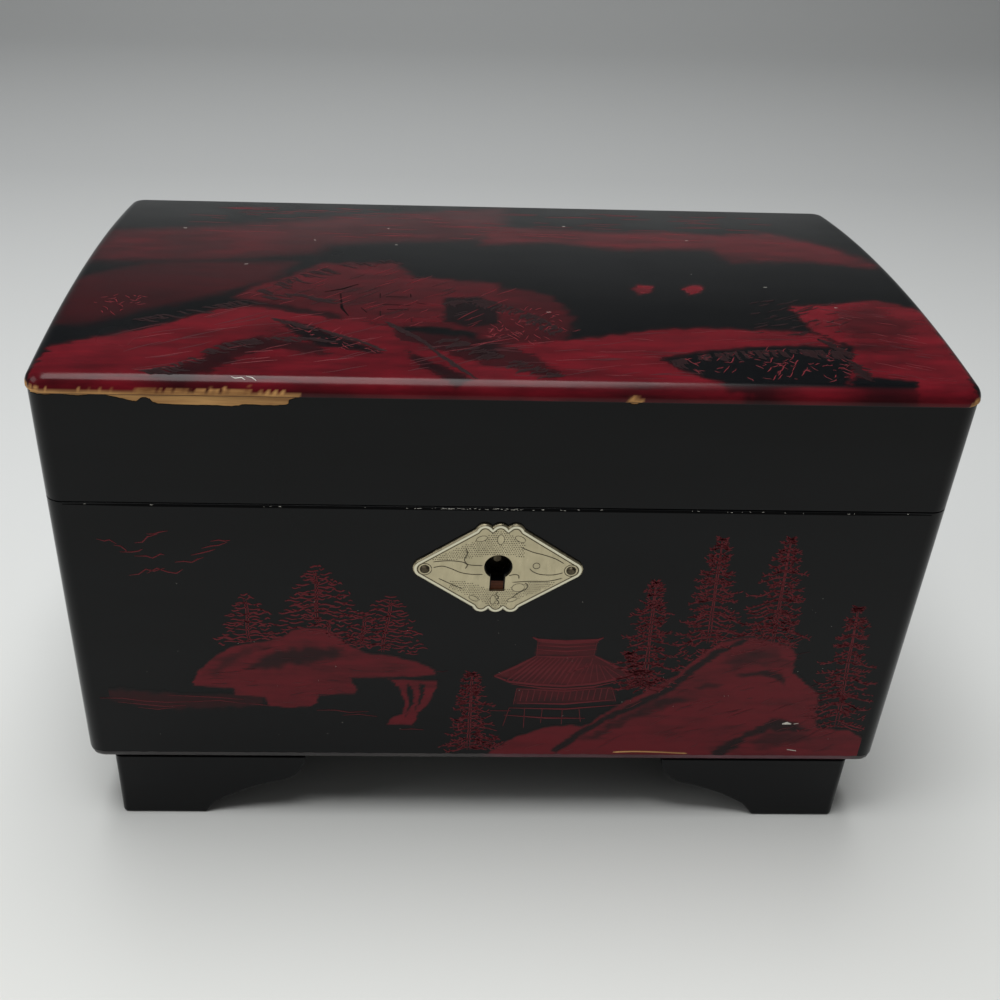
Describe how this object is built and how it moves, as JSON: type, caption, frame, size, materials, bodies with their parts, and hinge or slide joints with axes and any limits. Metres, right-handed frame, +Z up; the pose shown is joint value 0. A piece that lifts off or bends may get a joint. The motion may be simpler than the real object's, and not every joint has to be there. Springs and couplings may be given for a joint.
{
  "type": "musical jewelry box",
  "caption": "Lacquered rectangular jewellery box with an arched hinged lid, ogee bracket feet, keyhole plate, lock, lid mirror, lined wells, ring rolls and a glazed musical movement.",
  "frame": {"origin": "on the table, under the middle of the box", "axes": "+X to the right of someone who faces the front, +Y to the back, +Z up"},
  "size_m": [0.2308, 0.14, 0.1481],
  "materials": {
    "black_lacquer": "gloss black lacquer on wood",
    "painted_lacquer": "gloss black lacquer with a red painted landscape",
    "bare_wood": "plain softwood",
    "pale_nickel": "pale plated sheet, etched",
    "brass_parts": "satin brass",
    "steel_parts": "brushed steel",
    "spring_steel": "dark spring steel",
    "cast_bed": "cast, dull",
    "red_velvet": "short-pile velvet on card",
    "velvet_roll": "padded velvet roll",
    "looking_glass": "silvered glass",
    "clear_glass": "clear sheet",
    "gilt_frame": "gilt wooden moulding"
  },
  "bodies": {
    "case": {"front_board": "painted_lacquer", "back_board": "black_lacquer", "left_board": "black_lacquer", "right_board": "black_lacquer", "foot_front_left": "black_lacquer", "foot_front_right": "black_lacquer", "foot_back_left": "black_lacquer", "foot_back_right": "black_lacquer", "bottom_board": "bare_wood", "ring_roll_base": "bare_wood", "glass_cleats": "bare_wood", "keyhole_plate": "pale_nickel", "keyhole_plate_pins": "pale_nickel", "lock_case": "brass_parts", "hinge_case_leaf_left": "brass_parts", "hinge_case_leaf_right": "brass_parts", "hinge_pins": "brass_parts", "case_screws": "brass_parts", "stop_rod_guide": "brass_parts", "spring_housing": "brass_parts", "comb": "steel_parts", "movement_screws": "steel_parts", "cylinder_brackets": "steel_parts", "governor_bracket": "steel_parts", "movement_bedplate": "cast_bed", "lining_front": "red_velvet", "lining_back": "red_velvet", "lining_left": "red_velvet", "lining_right": "red_velvet", "lining_floor": "red_velvet", "long_partition": "red_velvet", "short_partition": "red_velvet", "ring_roll_1": "velvet_roll", "ring_roll_2": "velvet_roll", "ring_roll_3": "velvet_roll", "ring_roll_4": "velvet_roll", "glass_cover": "clear_glass"},
    "lid": {"lid_front_rail": "painted_lacquer", "lid_back_rail": "black_lacquer", "lid_left_rail": "black_lacquer", "lid_right_rail": "black_lacquer", "lid_top_panel": "painted_lacquer", "lid_backing_board": "bare_wood", "mirror": "looking_glass", "mirror_frame": "gilt_frame", "lid_pusher": "bare_wood", "lid_strike": "brass_parts", "hinge_lid_leaf_left": "brass_parts", "hinge_lid_leaf_right": "brass_parts", "lid_screws": "brass_parts"},
    "lock_bolt": {"lock_bolt": "steel_parts"},
    "winding": {"winding_key": "steel_parts", "winding_arbor": "steel_parts"},
    "spring_gear": {"spring_gear": "brass_parts"},
    "cylinder": {"cylinder": "brass_parts", "cylinder_arbor": "brass_parts"},
    "governor": {"governor_wheel": "brass_parts"},
    "fan": {"governor_fan": "steel_parts"},
    "stop_rod": {"stop_rod": "steel_parts", "stop_rod_spring": "spring_steel"}
  },
  "joints": [
    {"name": "lid_hinge", "type": "hinge", "parent": "case", "child": "lid", "pos_m": [0, 0.0685, 0.11015], "axis": [-1, 0, 0], "range_deg": [0, 100]},
    {"name": "lock_bolt_slide", "type": "slide", "parent": "case", "child": "lock_bolt", "axis": [1, 0, 0], "range_m": [0, 0.003]},
    {"name": "winding_turn", "type": "hinge", "parent": "case", "child": "winding", "pos_m": [0.048, 0.026, 0.03], "axis": [0, 0, 1], "continuous": true},
    {"name": "cylinder_turn", "type": "hinge", "parent": "case", "child": "cylinder", "pos_m": [0.075, 0.026, 0.05028], "axis": [1, 0, 0], "continuous": true},
    {"name": "spring_gear_turn", "type": "hinge", "parent": "case", "child": "spring_gear", "pos_m": [0.048, 0.026, 0.046], "axis": [0, 0, 1], "continuous": true},
    {"name": "governor_turn", "type": "hinge", "parent": "case", "child": "governor", "pos_m": [0.094, 0.03485, 0.05028], "axis": [1, 0, 0], "continuous": true},
    {"name": "fan_turn", "type": "hinge", "parent": "case", "child": "fan", "pos_m": [0.0948, 0.04005, 0.05], "axis": [0, 0, 1], "continuous": true},
    {"name": "stop_rod_slide", "type": "slide", "parent": "case", "child": "stop_rod", "axis": [0, 0, 1], "range_m": [0, 0.0045], "deforming": ["stop_rod_spring"]}
  ],
  "couplings": [
    {"joint": "spring_gear_turn", "follows": "cylinder_turn", "ratio": 0.25},
    {"joint": "governor_turn", "follows": "cylinder_turn", "ratio": -4.5},
    {"joint": "fan_turn", "follows": "cylinder_turn", "ratio": 45},
    {"joint": "stop_rod_slide", "follows": "lid_hinge", "m_per_rad": 0.0024}
  ]
}
